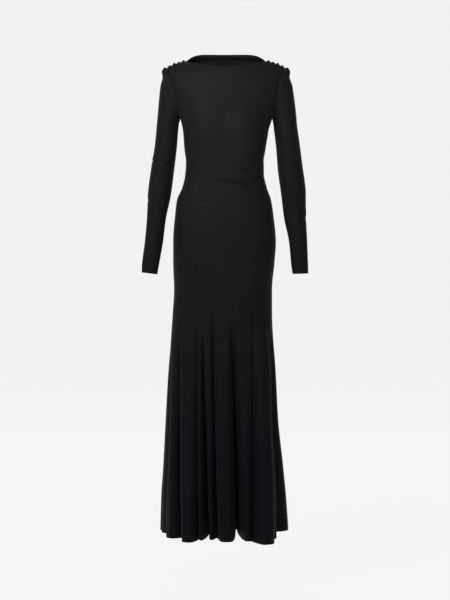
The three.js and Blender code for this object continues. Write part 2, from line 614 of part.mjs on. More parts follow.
function sidePanel(name, face, side) {
  const sign = side === 'left' ? 1 : -1;
  const forward = face === 'front' ? -1 : 1;
  const start = face === 'front' ? 0 : 180;
  const turnFrom = (local) => start + (face === 'front' ? 1 : -1) * sign * local;
  const localOf = (fold, drop) => {
    const turn = foldTurn(fold, drop);
    const away = sign * (turn > 180 ? turn - 360 : turn);
    return face === 'front' ? away : 180 - away;
  };
  const folds = FOLDS.filter((fold) => {
    if (fold.seam) return false;
    const local = localOf(fold, HEM_DROP);
    return local > 22 && local < 90;
  });
  const rows = SIDE_ROWS.map((drop) => {
    if (drop === PANEL_TOP_DROP) {
      const point = bodyPoint(sign * 90, drop + 1.2);
      point.y += (forward * SEAM_GAP) / 2;
      return [{ point, out: sideSeamOut(sign, drop) }];
    }
    const seamLocal = seamTurn(face, sign, drop);
    const at = Math.max(drop, FOLD_TOP_DROP);
    const seamAt = seamTurn(face, sign, at);
    const shares = folds.map((fold) => (localOf(fold, at) - seamAt) / (90 - seamAt)).sort((a, b) => a - b);
    return spread([0, ...shares, 1], FOLD_STEPS).map((share, k, all) => {
      if (k === 0) {
        const seam = seamEdge(face, sign, drop, vec(sign, 0, 0));
        return { point: seam.point.add(seam.shift), out: seam.out };
      }
      if (k === all.length - 1) {
        const point = bodyPoint(sign * 90, drop);
        point.y += (forward * SEAM_GAP) / 2;
        return { point, out: sideSeamOut(sign, drop) };
      }
      const turn = turnFrom(mix(seamLocal, 90, share));
      const low = Math.min(drop + 1, HEM_DROP);
      const along = bodyPoint(turn + 0.2, drop).sub(bodyPoint(turn - 0.2, drop));
      const down = bodyPoint(turn, low).sub(bodyPoint(turn, low - 2));
      return { point: bodyPoint(turn, drop), out: outwardFold(turn, drop, along, down) };
    });
  });
  const { outer, inner } = layer(rows);
  return clothSolid(name, outer, inner);
}

// Set-in sleeve: its first row is the armhole loop, then the rows swing about the underarm
// until they lie square to the arm, and taper to the open cuff
function sleeve(name, side) {
  const sign = side === 'left' ? 1 : -1;
  const hole = ARMHOLES[side];
  const loop = [];
  hole.points.forEach((point, k) => {
    const next = (k + 1) % hole.points.length;
    const splits = Math.min(-point.z, -hole.points[next].z) < SLEEVE_SPLIT_DROP ? CHORD_SPLITS : 1;
    for (let i = 0; i < splits; i += 1) {
      loop.push({
        point: point.clone().lerp(hole.points[next], i / splits),
        out: hole.outwards[k].clone().lerp(hole.outwards[next], i / splits).normalize(),
      });
    }
  });
  const tip = hole.points[YOKE_ROWS.length - 1];
  const underarm = hole.points[0];
  const length = tip.distanceTo(underarm);
  const count = loop.length;
  const angles = loop.map(({ point }, k) => {
    const up = point.clone().sub(underarm).dot(hole.axis) / length;
    const angle = Math.acos(Math.min(1, Math.max(-1, 1 - 2 * up)));
    return k <= count / 2 ? angle : 2 * Math.PI - angle;
  });
  const table = SLEEVES[side];
  const indexed = table.map((row, index) => ({ ...row, index }));
  const sectionPoint = (place, k) => {
    const at = (column) => read(indexed, column, place, 'index');
    const relax = ease(place / 7);
    const angle = mix(angles[k], (2 * Math.PI * k) / count, relax);
    const up = (1 - Math.cos(angle)) / 2;
    const x = mix(at('inner'), at('outer'), up);
    const drop = mix(at('innerDrop'), at('outerDrop'), up);
    const gather = gatherOut(angle, place);
    const half = at('half') + gather * 0.8;
    const y = at('mid') - half * Math.sin(angle);
    const lift = gather * Math.max(0, -Math.cos(angle));
    return vec(sign * (x + lift * 0.6), y, -drop + lift * 0.8);
  };
  const places = [];
  SLEEVE_STEPS_PER_SECTION.forEach((steps, k) => {
    for (let i = 0; i < steps; i += 1) places.push(k + i / steps);
  });
  places.push(table.length - 1);
  const rows = [
    loop.map(({ point, out }) => ({
      point: point.clone().addScaledVector(hole.armward, SEAM_GAP / 2),
      out,
    })),
  ];
  places.forEach((place) => {
    const ring = angles.map((angle, k) => sectionPoint(place, k));
    const centre = ring.reduce((sum, point) => sum.add(point), vec(0, 0, 0)).divideScalar(count);
    rows.push(
      ring.map((point, k) => {
        const step = 0.02;
        const low = Math.min(place + step, table.length - 1);
        const high = Math.max(low - 2 * step, 0);
        const along = ring[(k + 1) % count].clone().sub(ring[(k + count - 1) % count]);
        const down = sectionPoint(low, k).sub(sectionPoint(high, k));
        return { point, out: outward(along, down, point.clone().sub(centre)) };
      }),
    );
  });
  const { outer, inner } = layer(rows);
  return clothSolid(name, outer, inner, true);
}

// Gathers eased into the top of the sleeve cap, gone by the upper arm
function gatherOut(angle, place) {
  const fromTop = THREE.MathUtils.radToDeg(Math.abs(angle - Math.PI));
  if (fromTop > CAP_GATHERS.spread || place > 4) return 0;
  const along = (fromTop + CAP_GATHERS.spread) / (2 * CAP_GATHERS.spread);
  const strength = ease((CAP_GATHERS.spread - fromTop) / 25) * (1 - ease(place / 4));
  return CAP_GATHERS.out * strength * gatherWave(along, CAP_GATHERS.count);
}

const dress = new THREE.Group();
dress.add(middlePanel('front', 'front'));
dress.add(middlePanel('back', 'back'));
for (const side of ['left', 'right']) {
  dress.add(sidePanel(`side_front_${side}`, 'front', side));
  dress.add(sidePanel(`side_back_${side}`, 'back', side));
  dress.add(sleeve(`sleeve_${side}`, side));
}

export default dress;
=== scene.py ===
import math
from collections import namedtuple

import bpy
import numpy as np
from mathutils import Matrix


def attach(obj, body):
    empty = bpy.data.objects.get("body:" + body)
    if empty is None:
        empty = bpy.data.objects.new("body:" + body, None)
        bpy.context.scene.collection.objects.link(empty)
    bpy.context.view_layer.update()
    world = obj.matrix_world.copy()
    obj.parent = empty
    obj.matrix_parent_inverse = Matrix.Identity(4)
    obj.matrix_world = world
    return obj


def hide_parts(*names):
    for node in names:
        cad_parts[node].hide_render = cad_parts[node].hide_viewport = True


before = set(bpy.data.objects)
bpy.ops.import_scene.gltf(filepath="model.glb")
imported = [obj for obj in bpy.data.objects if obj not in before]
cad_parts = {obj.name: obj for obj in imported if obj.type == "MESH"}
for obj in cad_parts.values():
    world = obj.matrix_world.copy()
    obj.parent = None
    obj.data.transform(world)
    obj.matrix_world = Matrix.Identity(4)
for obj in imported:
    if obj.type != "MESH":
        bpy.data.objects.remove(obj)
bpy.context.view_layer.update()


# The studio
# Evenly lit pale paper that curves up behind the dress, a broad soft key light high on the
# wearer's right, a weaker fill in front and a narrow low fill that lifts the neck and bodice.
CAMERA_DISTANCE = 4.9
CAMERA_HEIGHT = -0.738
LENS_MM = 94.8


def add_object(name, data):
    """A new object at the origin, in the scene."""
    made = bpy.data.objects.new(name, data)
    bpy.context.scene.collection.objects.link(made)
    return made


camera_data = bpy.data.cameras.new("camera")
camera_data.lens = LENS_MM
camera_data.sensor_width = 36
camera_data.sensor_fit = "AUTO"
camera = add_object("camera", camera_data)
camera.location = (0, -CAMERA_DISTANCE, CAMERA_HEIGHT)
camera.rotation_euler = (math.radians(90), 0, 0)
bpy.context.scene.camera = camera


class Socket:
    """One output of a shader node, with maths written as Python expressions."""

    def __init__(self, tree, link):
        self.tree = tree
        self.link = link

    def math(self, operation, other=None, swapped=False):
        values = [self] if other is None else [self, other]
        if swapped:
            values.reverse()
        return self.tree.node("ShaderNodeMath", {"operation": operation}, values)

    def __add__(self, other):
        return self.math("ADD", other)

    __radd__ = __add__

    def __mul__(self, other):
        return self.math("MULTIPLY", other)

    __rmul__ = __mul__

    def __sub__(self, other):
        return self.math("SUBTRACT", other)

    def __rsub__(self, other):
        return self.math("SUBTRACT", other, swapped=True)


class NodeTree:
    """A tree whose node() adds a node, its settings first, and wires the values or sockets given."""

    def __init__(self, tree):
        self.nodes = tree.nodes
        self.links = tree.links

    def node(self, kind, settings=None, values=(), output=0):
        made = self.nodes.new(kind)
        for key, setting in (settings or {}).items():
            setattr(made, key, setting)
        pairs = values.items() if isinstance(values, dict) else enumerate(values)
        for key, value in pairs:
            self.wire(made.inputs[key], value)
        return Socket(self, made.outputs[output])

    def wire(self, target, value):
        if isinstance(value, Socket):
            self.links.new(value.link, target)
        else:
            target.default_value = value


class Finish(NodeTree):
    """A material and its tree, with the shader's inputs set by name."""

    def __init__(self, name):
        self.material = bpy.data.materials.new(name)
        self.material.use_nodes = True
        super().__init__(self.material.node_tree)
        self.shader = self.nodes["Principled BSDF"]

    def set(self, **values):
        for name, value in values.items():
            self.wire(self.shader.inputs[name.replace("_", " ")], value)

    def blend(self, share, start, end):
        """A colour between two others."""
        colours = {"Factor": share, 6: start, 7: end}
        return self.node("ShaderNodeMix", {"data_type": "RGBA"}, colours, output=2)


def add_mesh(name, points, faces, material):
    """A new smooth-shaded piece from points in metres."""
    mesh = bpy.data.meshes.new(name)
    mesh.from_pydata(points, [], faces)
    mesh.materials.append(material)
    mesh.polygons.foreach_set("use_smooth", [True] * len(mesh.polygons))
    mesh.update()
    return add_object(name, mesh)


FLOOR_Z = -1.62
STAGE_HALF_WIDTH = 9.0
STAGE_FRONT = -9.0
STAGE_BEND_START = 5.2
STAGE_BEND_RADIUS = 2.0
STAGE_BEND_STEPS = 24
STAGE_TOP = 6.0
PAPER_GLOW = 0.87
ROOM_LIGHT = 0.12

backdrop_profile = [(STAGE_FRONT, FLOOR_Z), (STAGE_BEND_START, FLOOR_Z)]
for step in range(1, STAGE_BEND_STEPS + 1):
    angle = math.radians(90 * step / STAGE_BEND_STEPS)
    backdrop_profile.append(
        (
            STAGE_BEND_START + STAGE_BEND_RADIUS * math.sin(angle),
            FLOOR_Z + STAGE_BEND_RADIUS * (1 - math.cos(angle)),
        )
    )
backdrop_profile.append((STAGE_BEND_START + STAGE_BEND_RADIUS, STAGE_TOP))
backdrop_points = [(side * STAGE_HALF_WIDTH, y, z) for y, z in backdrop_profile for side in (-1, 1)]
backdrop_faces = [(2 * k, 2 * k + 1, 2 * k + 3, 2 * k + 2) for k in range(len(backdrop_profile) - 1)]
paper = Finish("pale_paper")
paper.set(Base_Color=(0.02, 0.02, 0.02, 1), Roughness=0.95)
paper.set(Emission_Color=(PAPER_GLOW, PAPER_GLOW, PAPER_GLOW, 1), Emission_Strength=1.0)
backdrop = add_mesh("backdrop", backdrop_points, backdrop_faces, paper.material)


def soft_light(name, place, target, size, watts, spread=180):
    data = bpy.data.lights.new(name, "AREA")
    data.spread = math.radians(spread)
    data.shape = "RECTANGLE"
    data.size = size[0]
    data.size_y = size[1]
    data.energy = watts
    light = add_object(name, data)
    light.location = place
    aim = np.array(target, float) - np.array(place, float)
    light.rotation_euler = (
        math.atan2(math.hypot(aim[0], aim[1]), -aim[2]),
        0,
        math.atan2(aim[1], aim[0]) - math.pi / 2,
    )


soft_light("key", place=(-1.0, -1.7, 1.1), target=(0, 0, -0.1), size=(1.1, 0.9), watts=54)
soft_light("fill", place=(0.6, -3.0, 0.7), target=(0, 0, -0.5), size=(1.2, 1.0), watts=12)
soft_light("low_fill", place=(0.2, -2.2, -0.6), target=(0, 0, 0.05), size=(0.4, 0.3), watts=0.8, spread=36)

world = bpy.data.worlds.new("studio")
world.use_nodes = True
room = world.node_tree.nodes["Background"]
room.inputs["Color"].default_value = (1, 1, 1, 1)
room.inputs["Strength"].default_value = ROOM_LIGHT
bpy.context.scene.world = world
bpy.context.scene.view_settings.view_transform = "Standard"


# The jersey
# Near-black stretch jersey in viscose with elastane: a fine flat knit whose wales run down
# the cloth, dull, with a faint nap that catches light where the cloth turns away.
WALE = 0.0009
COURSE = 0.0011
LOOP_LEAN = 1.6
KNIT_RELIEF = 0.0002
SLUB_RELIEF = 0.0012
# Heights between which painted shade darkens the jersey towards the hem
HEM_SHADE_STARTS_Z = -0.7
HEM_SHADE_FULL_Z = -1.2
SHEEN_TINT = (0.8, 0.78, 0.85, 1)
DARK_PATCH = 0.8
LIGHT_PATCH = 1.25


def jersey(name, shade, upper, lower):
    """Shade and tint at the shoulders, and a lower colour by the hem that is darker and bluer: painted
    shade where the light falls off down the skirt, together with a bluer tint.
    """
    cloth = Finish(name)
    place = cloth.node("ShaderNodeTexCoord", output=3)

    def noise(scale, detail, roughness):
        sizes = {"Vector": place, "Scale": scale, "Detail": detail, "Roughness": roughness}
        return cloth.node("ShaderNodeTexNoise", values=sizes)

    def raised(strength, distance, height, **normal):
        sizes = {"Strength": strength, "Distance": distance, "Height": height, **normal}
        return cloth.node("ShaderNodeBump", values=sizes)

    uv = cloth.node("ShaderNodeUVMap", {"uv_map": "cloth"})
    across = cloth.node("ShaderNodeSeparateXYZ", values=[uv], output=0)
    along = cloth.node("ShaderNodeSeparateXYZ", values=[uv], output=1)
    wales = across * (2 * math.pi / WALE)
    lean = wales.math("COSINE").math("ABSOLUTE")
    loops = (along * (2 * math.pi / COURSE) + lean * LOOP_LEAN).math("SINE")
    knit = loops * 0.5 + wales.math("SINE").math("ABSOLUTE")
    cloudy = noise(scale=7.0, detail=4.0, roughness=0.6)
    lint = noise(scale=260.0, detail=3.0, roughness=0.7)
    slub = noise(scale=60.0, detail=5.0, roughness=0.65)
    mottle = cloudy * 0.8 + lint * 0.3 - 0.05
    upper_and_shaded_lower = []
    for tint_and_shade in (upper, lower):
        dark = (*[c * shade * DARK_PATCH for c in tint_and_shade], 1)
        light = (*[c * shade * LIGHT_PATCH for c in tint_and_shade], 1)
        upper_and_shaded_lower.append(cloth.blend(mottle, dark, light))
    # Painted shade: lower down the dress the colour fades from the upper to the darker, bluer lower colour,
    # standing in for the light that falls off towards the hem.
    height = cloth.node("ShaderNodeSeparateXYZ", values=[place], output=2)
    limits = {"Value": height, "From Min": HEM_SHADE_STARTS_Z, "From Max": HEM_SHADE_FULL_Z}
    tone_and_hem_shade = cloth.blend(cloth.node("ShaderNodeMapRange", values=limits), *upper_and_shaded_lower)
    stitches = raised(strength=0.25, distance=KNIT_RELIEF, height=knit)
    relief = raised(strength=0.18, distance=SLUB_RELIEF, height=slub, Normal=stitches)
    cloth.set(Base_Color=tone_and_hem_shade, Roughness=cloudy * 0.1 + 0.62, Normal=relief)
    cloth.set(Specular_IOR_Level=0.06, Sheen_Weight=0.02, Sheen_Roughness=0.5, Sheen_Tint=SHEEN_TINT)
    return cloth.material


# The front
# One piece from the wide neckline to the hem. It is cut narrow over the waist and flares in the
# skirt, where it falls in deep uneven pleats between the two side panels.
SHELL = 1.2
SQUARENESS = 2.3
HEM_DROP = 1470.0
UNDERARM_DROP = 178.0
SHOULDER_TIP_DROP = 18.0
YOKE_DROP = 60.0
ARMHOLE_HALF_DEPTH = 46.0
PANEL_TOP_DROP = 500.0
FOLD_TOP_DROP = 740.0
FOLD_WIDE_AT_TOP = 2.6
FOLD_WIDE_AT_HEM = 1.7
FOLD_GROWTH = 0.8
NOTCH_SHARPNESS = 4.5
HEM_LIFT_DROP = 1000.0
SIDE_SEAM_TURN = 90.0
MIDDLE_FOLD_TURN = 22.0
BUST_OUT = 15.5
BUST_APART = 66.0
BUST_HALF_WIDTH = 44.0
BUST_DROP = 214.0
BUST_HALF_HEIGHT = 46.0


class Table:
    """Rows of sizes in millimetres with named columns, each read as a smooth curve."""

    def __init__(self, names, rows):
        self.names = names.split()
        self.rows = np.array(rows, float)

    def __call__(self, name, at):
        x = self.rows[:, 0]
        y = self.rows[:, self.names.index(name)]
        slope = np.diff(y) / np.diff(x)
        before, after = slope[:-1], slope[1:]
        total = np.where(before + after == 0, 1, before + after)
        middle = np.where(before * after <= 0, 0, 2 * before * after / total)
        tangent = np.concatenate([slope[:1], middle, slope[-1:]])
        at = np.clip(at, x[0], x[-1])
        k = np.clip(np.searchsorted(x, at, side="right") - 1, 0, len(x) - 2)
        step = x[k + 1] - x[k]
        t = (at - x[k]) / step
        return hermite(y[k], tangent[k] * step, y[k + 1], tangent[k + 1] * step, t)


def hermite(start, leave, end, arrive, t):
    t2, t3 = t * t, t * t * t
    rise = 3 * t2 - 2 * t3
    return start * (1 - rise) + leave * (t3 - 2 * t2 + t) + end * rise + arrive * (t3 - t2)


def ease(t):
    s = np.clip(t, 0, 1)
    return s * s * (3 - 2 * s)


def mix(a, b, t):
    return a + (b - a) * t


sections = Table(
    "drop left right front back mid",
    [
        (60, 182, 176, 90, 72, 0),
        (90, 178, 171, 96, 80, 0),
        (130, 165, 157, 102, 86, 0),
        (178, 146, 138, 106, 90, 0),
        (217, 134, 130, 106, 88, 0),
        (270, 126, 126, 100, 80, 0),
        (310, 120, 121, 94, 72, 0),
        (353, 121, 124, 88, 67, 0),
        (391, 130, 133, 90, 79, 0),
        (428, 143, 149, 93, 97, 2),
        (465, 149, 154, 95, 112, 4),
        (558, 158, 161, 98, 124, 6),
        (620, 154, 161, 98, 119, 6),
        (707, 146, 158, 96, 107, 4),
        (775, 146, 162, 94, 100, 3),
        (850, 149, 167, 93, 99, 3),
        (961, 155, 174, 94, 106, 6),
        (1110, 161, 180, 98, 120, 14),
        (1258, 175, 186, 104, 138, 25),
        (1367, 184, 192, 109, 152, 33),
        (1470, 190, 194, 113, 164, 40),
    ],
)
panel_seams = Table(
    "drop front back",
    [
        (500, 158, 158),
        (507, 139, 142),
        (520, 116, 121),
        (538, 103, 108),
        (560, 94, 99),
        (585, 89, 94),
        (657, 86, 91),
        (741, 85, 90),
        (1110, 86, 90),
        (1470, 84, 90),
    ],
)

# Each fold: turn where it begins and at the hem, the drop it begins at, how far it stands out
# or in at the hem, and the lift of the hem. A seam fold keeps to its panel seam.
Fold = namedtuple("Fold", "name top hem starts out lift")
FOLD_ROWS = [
    ("right_side", -92, -97, 900, 5, 6),
    ("right_side_dip", -76, -78, 860, -12, 6),
    ("right_front_swell", -66, -60, 860, 2, 0),
    ("right_front_shade", -58, -46, 800, -42, 3),
    ("right_front_lobe", -42, -30, 780, 22, -3),
    ("right_front_seam", ("front", -1), None, 760, -14, 2),
    ("slim_lobe", -26, -19, 800, 0, 2),
    ("first_pleat", -22.3, -15, 800, -76, 15),
    ("second_lobe", -16, -9.8, 790, -8, 3),
    ("second_pleat", -11, -6.2, 740, -52, 2),
    ("middle_lobe", -2.5, 0.5, 800, 15, 0),
    ("deep_pleat", 5.9, 12, 770, -98, 27),
    ("left_lobe", 20, 18, 800, 6, 0),
    ("left_front_seam", ("front", 1), None, 760, -8, -3),
    ("left_front_lobe", 50, 31, 780, 50, -6),
    ("left_front_flank", 64, 47, 790, 8, 2),
    ("left_side_pleat", 76, 62, 790, -46, 14),
    ("left_side_lobe", 96, 98, 820, 9, 14),
    ("left_back_pleat", 118, 133, 800, -34, 10),
    ("left_back_lobe", 136, 146, 820, 20, 2),
    ("left_back_seam", ("back", 1), None, 780, -12, 3),
    ("back_lobe_one", 156, 163, 820, 16, 0),
    ("back_pleat_one", 164, 168.5, 770, -72, 12),
    ("back_lobe_two", 173, 174.5, 800, 12, 1),
    ("back_pleat_two", 181, 180.5, 840, -46, 5),
    ("back_lobe_three", 189, 186.5, 800, 16, -2),
    ("back_pleat_three", 197, 192.5, 780, -88, 14),
    ("back_lobe_four", 205, 198, 830, 15, 0),
    ("right_back_seam", ("back", -1), None, 780, -10, 3),
    ("right_back_lobe", 224, 214, 820, 26, 0),
    ("right_back_pleat", 242, 231, 800, -38, 12),
    ("right_back_side_lobe", 256, 250, 820, 18, 8),
]
FOLDS = [Fold(*row) for row in FOLD_ROWS]


def seam_turn(face, side, drop):
    half = np.where(side > 0, sections("left", drop), sections("right", drop))
    share = np.clip(panel_seams(face, drop) / half, 0, 1) ** (SQUARENESS / 2)
    return np.where(drop <= PANEL_TOP_DROP, SIDE_SEAM_TURN, np.degrees(np.arcsin(share)))


def share_down(start, drop):
    """How far a drop lies on the way from a start to the hem."""
    return np.clip((drop - start) / (HEM_DROP - start), 0, 1)


def fold_turn(fold, drop):
    if fold.hem is None:
        face, side = fold.top
        turn = side * seam_turn(face, side, drop)
        return turn if face == "front" else 180 - turn
    return mix(fold.top, fold.hem, share_down(FOLD_TOP_DROP, drop))


def fold_at(turn, drop):
    """How far the cloth stands out at a turn, and how far the hem is lifted there."""
    turn, drop = np.broadcast_arrays(np.asarray(turn, float), np.asarray(drop, float))
    out = np.zeros(turn.shape)
    lift = np.zeros(turn.shape)
    lowest = fold_turn(FOLDS[0], drop)
    here = np.where(turn < lowest, turn + 360, turn)
    here = np.where(here >= lowest + 360, here - 360, here)
    narrowness = mix(FOLD_WIDE_AT_TOP, FOLD_WIDE_AT_HEM, share_down(FOLD_TOP_DROP, drop))
    hang = share_down(HEM_LIFT_DROP, drop) ** 2
    for k, fold in enumerate(FOLDS):
        after = FOLDS[(k + 1) % len(FOLDS)]
        start = fold_turn(fold, drop)
        end = fold_turn(after, drop) + (360 if k + 1 == len(FOLDS) else 0)
        inside = (here >= start) & (here < end) & (drop > FOLD_TOP_DROP)
        if not inside.any():
            continue
        t = np.clip((here - start) / (end - start), 0, 1)
        heights = []
        for one in (fold, after):
            grown = share_down(one.starts, drop)
            heights.append(one.out * grown**FOLD_GROWTH * ease(grown * 6))
        towards = np.where(heights[1] < heights[0], t, 1 - t)
        dip = (1 - np.cos(np.pi * towards**narrowness)) / 2
        value = mix(np.maximum(*heights), np.minimum(*heights), dip)
        out = np.where(inside, value, out)
        lobe, pleat = (fold, after) if after.out < fold.out else (after, fold)
        lift = np.where(inside, mix(lobe.lift, pleat.lift, towards**NOTCH_SHARPNESS) * hang, lift)
    return out, lift


def body_point(turn, drop):
    """Points of bodice and skirt at or below the yoke, and the way out of them."""
    turn, drop = np.broadcast_arrays(np.asarray(turn, float), np.asarray(drop, float))
    s, c = np.sin(np.radians(turn)), np.cos(np.radians(turn))
    half = np.where(s >= 0, sections("left", drop), sections("right", drop))
    mid = sections("mid", drop)
    depth = np.where(c >= 0, sections("front", drop) + mid, sections("back", drop) - mid)
    x = half * np.sign(s) * np.abs(s) ** (2 / SQUARENESS)
    y = -depth * np.sign(c) * np.abs(c) ** (2 / SQUARENESS)
    nx = np.sign(x) * np.abs(x / half) ** (SQUARENESS - 1) / half
    ny = np.sign(y) * np.abs(y / depth) ** (SQUARENESS - 1) / depth
    length = np.hypot(nx, ny)
    out, lift = fold_at(turn, drop)
    from_bust = ((np.abs(x) - BUST_APART) / BUST_HALF_WIDTH) ** 2
    from_bust = from_bust + ((drop - BUST_DROP) / BUST_HALF_HEIGHT) ** 2
    y_out = mid + y + ny / length * out - np.where(c > 0, BUST_OUT * np.exp(-from_bust) * c, 0)
    return np.stack([x + nx / length * out, y_out, lift - drop], axis=-1)


def armhole_turn(face, drop):
    middle = (SHOULDER_TIP_DROP + UNDERARM_DROP) / 2
    reach = (UNDERARM_DROP - SHOULDER_TIP_DROP) / 2
    away = np.clip((drop - middle) / reach, -1, 1)
    depth = ARMHOLE_HALF_DEPTH * np.sqrt(1 - away * away)
    share = (depth / sections(face, drop)) ** (SQUARENESS / 2)
    return np.where(drop >= UNDERARM_DROP, SIDE_SEAM_TURN, np.degrees(np.arccos(share)))


NECK = {"left": 128.0, "right": 122.0}
SHOULDER_TIP = {"left": 186.0, "right": 180.0}
NECK_SHARE = 0.62
NECK_EDGE_DROP = 2.0
FRONT_NECK_DEPTH = 78.0
FRONT_NECK_DIP = 24.0
FRONT_NECK_ROUNDNESS = 1.65
BACK_NECK_DEPTH = 56.0
BACK_NECK_RISE = 31.0
BACK_NECK_ROUNDNESS = 2.2
SHOULDER_SLOPE = 20.0
SHOULDER_ROLL_OUT = 66.0
SHOULDER_ROLL_DOWN = 16.0
SHOULDER_BLEND = 0.14
GATHER_LEAN = 80.0
GATHER_HEIGHTS = (3.0, 2.2, 3.4, 2.5)
FINE_GATHER_HEIGHT = 0.3
FINE_GATHER_COUNT = 9


def gather_height(q):
    """Small puckers, uneven in height, along a shoulder seam from neck (0) to tip (1)."""
    q = np.asarray(q)
    total = np.zeros(q.shape)
    for k, height in enumerate(GATHER_HEIGHTS):
        local = q * len(GATHER_HEIGHTS) - k
        inside = (local >= 0) & (local <= 1)
        total = np.where(inside, height * (1 - np.cos(2 * np.pi * local)) / 2, total)
    fine = FINE_GATHER_HEIGHT * np.sin(2 * np.pi * FINE_GATHER_COUNT * q) * np.sin(np.pi * np.clip(q, 0, 1))
    return np.where((q > 0) & (q < 1), total + fine, 0)


def top_edge(face, share):
    sign = np.where(share >= 0, 1.0, -1.0)
    neck = np.where(share >= 0, NECK["left"], NECK["right"])
    tip = np.where(share >= 0, SHOULDER_TIP["left"], SHOULDER_TIP["right"])
    size = np.abs(share)
    along = np.clip(size / NECK_SHARE, 0, 1)
    q = np.clip((size - NECK_SHARE) / (1 - NECK_SHARE), 0, 1)
    if face == "front":
        dip = (1 - along**FRONT_NECK_ROUNDNESS) ** (1 / FRONT_NECK_ROUNDNESS)
        y = -FRONT_NECK_DEPTH * dip
        z = NECK_EDGE_DROP - FRONT_NECK_DIP * dip**1.4
    else:
        dip = (1 - along**BACK_NECK_ROUNDNESS) ** (1 / BACK_NECK_ROUNDNESS)
        y = BACK_NECK_DEPTH * dip
        z = mix(BACK_NECK_RISE, NECK_EDGE_DROP, along**6)
    on_shoulder = size >= NECK_SHARE
    seam_z = NECK_EDGE_DROP - SHOULDER_SLOPE * q**1.5 + gather_height(q)
    x = sign * np.where(on_shoulder, mix(neck, tip, q), neck * along)
    return np.stack([x, np.where(on_shoulder, 0, y), np.where(on_shoulder, seam_z, z)], axis=-1)


def face_point(face, share, drop, limit):
    turn = share * limit
    return body_point(turn if face == "front" else 180 - turn, drop)


def yoke_point(face, share, drop):
    """Cloth between the top edge and the yoke line, meeting both smoothly."""
    share, drop = np.broadcast_arrays(share, drop)
    t = (drop / YOKE_DROP)[..., None]
    at_yoke = np.full(share.shape, YOKE_DROP)
    top = top_edge(face, share)
    end = face_point(face, share, at_yoke, armhole_turn(face, at_yoke))
    below = face_point(face, share, at_yoke + 1, armhole_turn(face, at_yoke + 1))
    arrive = (below - end) * YOKE_DROP
    free = (end - top) * 1.5 - arrive * 0.5
    forward = -1.0 if face == "front" else 1.0
    over = np.array([0, forward * SHOULDER_ROLL_OUT, -SHOULDER_ROLL_DOWN])
    on = ease((np.abs(share) - NECK_SHARE + SHOULDER_BLEND) / SHOULDER_BLEND)[..., None]
    point = hermite(top, mix(free, over, on), end, arrive, t)
    q = (np.abs(share) - NECK_SHARE) / (1 - NECK_SHARE)
    lean = np.radians(GATHER_LEAN) * drop / YOKE_DROP
    rise = gather_height(q) * (1 - drop / YOKE_DROP) * (drop > 0)
    point[..., 1] += forward * np.sin(lean) * rise
    point[..., 2] += np.cos(lean) * rise
    return point


# Creases drawn on front and back: a bent line from start over middle to end, across
# and down in millimetres, then half width and depth of the trough.
FRONT_CREASES = [
    ((46, 336), (78, 349), (118, 376), 4.0, 6.0),
    ((-26, 379), (30, 379), (100, 400), 3.8, 5.6),
    ((70, 366), (78, 371), (86, 373), 3.4, 1.4),
    ((-92, 414), (-72, 416), (-48, 423), 3.4, 2.8),
    ((-124, 410), (-108, 413), (-92, 415), 4.5, 1.4),
    ((-92, 434), (-60, 437), (-20, 438), 3.4, 2.4),
    ((118, 300), (98, 318), (70, 326), 7.0, 1.6),
    ((-118, 318), (-96, 336), (-64, 342), 7.0, 1.6),
    ((-122, 205), (-100, 222), (-84, 262), 9.0, 2.0),
    ((126, 200), (104, 226), (92, 268), 9.0, 2.4),
    ((-146, 96), (-118, 118), (-96, 150), 9.0, 1.8),
    ((150, 92), (120, 116), (98, 152), 9.0, 2.4),
    ((-136, 452), (-98, 468), (-56, 470), 10.0, 1.3),
    ((138, 440), (104, 456), (66, 462), 10.0, 1.5),
    ((-30, 560), (-34, 640), (-52, 742), 14.0, 2.0),
    ((22, 600), (18, 690), (18, 790), 13.0, 2.2),
    ((60, 610), (58, 690), (54, 772), 12.0, 1.6),
]


CREASE_STEPS = 9
RIDGE_SHARE = 0.55
RIDGE_AWAY = 2.1
RIDGE_WIDTH = 1.5


def bend(start, middle, end):
    """Points on a smooth curve through all three."""
    a, b, c = (np.array(point, float) for point in (start, middle, end))
    t = np.linspace(0, 1, CREASE_STEPS)[:, None]
    pull = 2 * b - (a + c) / 2
    return a * (1 - t) ** 2 + pull * 2 * t * (1 - t) + c * t**2


def crease_depth(across, down, creases):
    """Soft troughs with a low ridge on their upper side, fading out at both ends."""
    total = np.zeros(across.shape)
    for start, middle, end, width, depth in creases:
        line = bend(start, middle, end)
        best = np.full(across.shape, np.inf)
        side = np.zeros(across.shape)
        where = np.zeros(across.shape)
        for k in range(len(line) - 1):
            step = line[k + 1] - line[k]
            dx = across - line[k, 0]
            dy = down - line[k, 1]
            t = np.clip((dx * step[0] + dy * step[1]) / (step @ step), 0, 1)
            dx = dx - t * step[0]
            dy = dy - t * step[1]
            distance = np.hypot(dx, dy)
            nearer = distance < best
            best = np.where(nearer, distance, best)
            side = np.where(nearer, np.sign(step[0] * dy - step[1] * dx), side)
            where = np.where(nearer, (k + t) / (len(line) - 1), where)
        fade = np.sin(np.pi * np.clip(where, 0.02, 0.98)) ** 0.7
        trough = -np.exp(-((best / width) ** 2))
        from_ridge = (best * side + RIDGE_AWAY * width) / (RIDGE_WIDTH * width)
        ridge = RIDGE_SHARE * np.exp(-(from_ridge**2))
        total += depth * fade * (trough + ridge)
    return total


def grid_normals(points, wrap=False):
    """Unit directions square to a grid of points, from its own rows and columns."""
    if wrap:
        along = np.roll(points, -1, axis=1) - np.roll(points, 1, axis=1)
    else:
        along = np.gradient(points, axis=1)
    down = np.gradient(points, axis=0)
    normal = np.cross(along, down)
    length = np.linalg.norm(normal, axis=-1, keepdims=True)
    return normal / np.where(length == 0, 1, length)


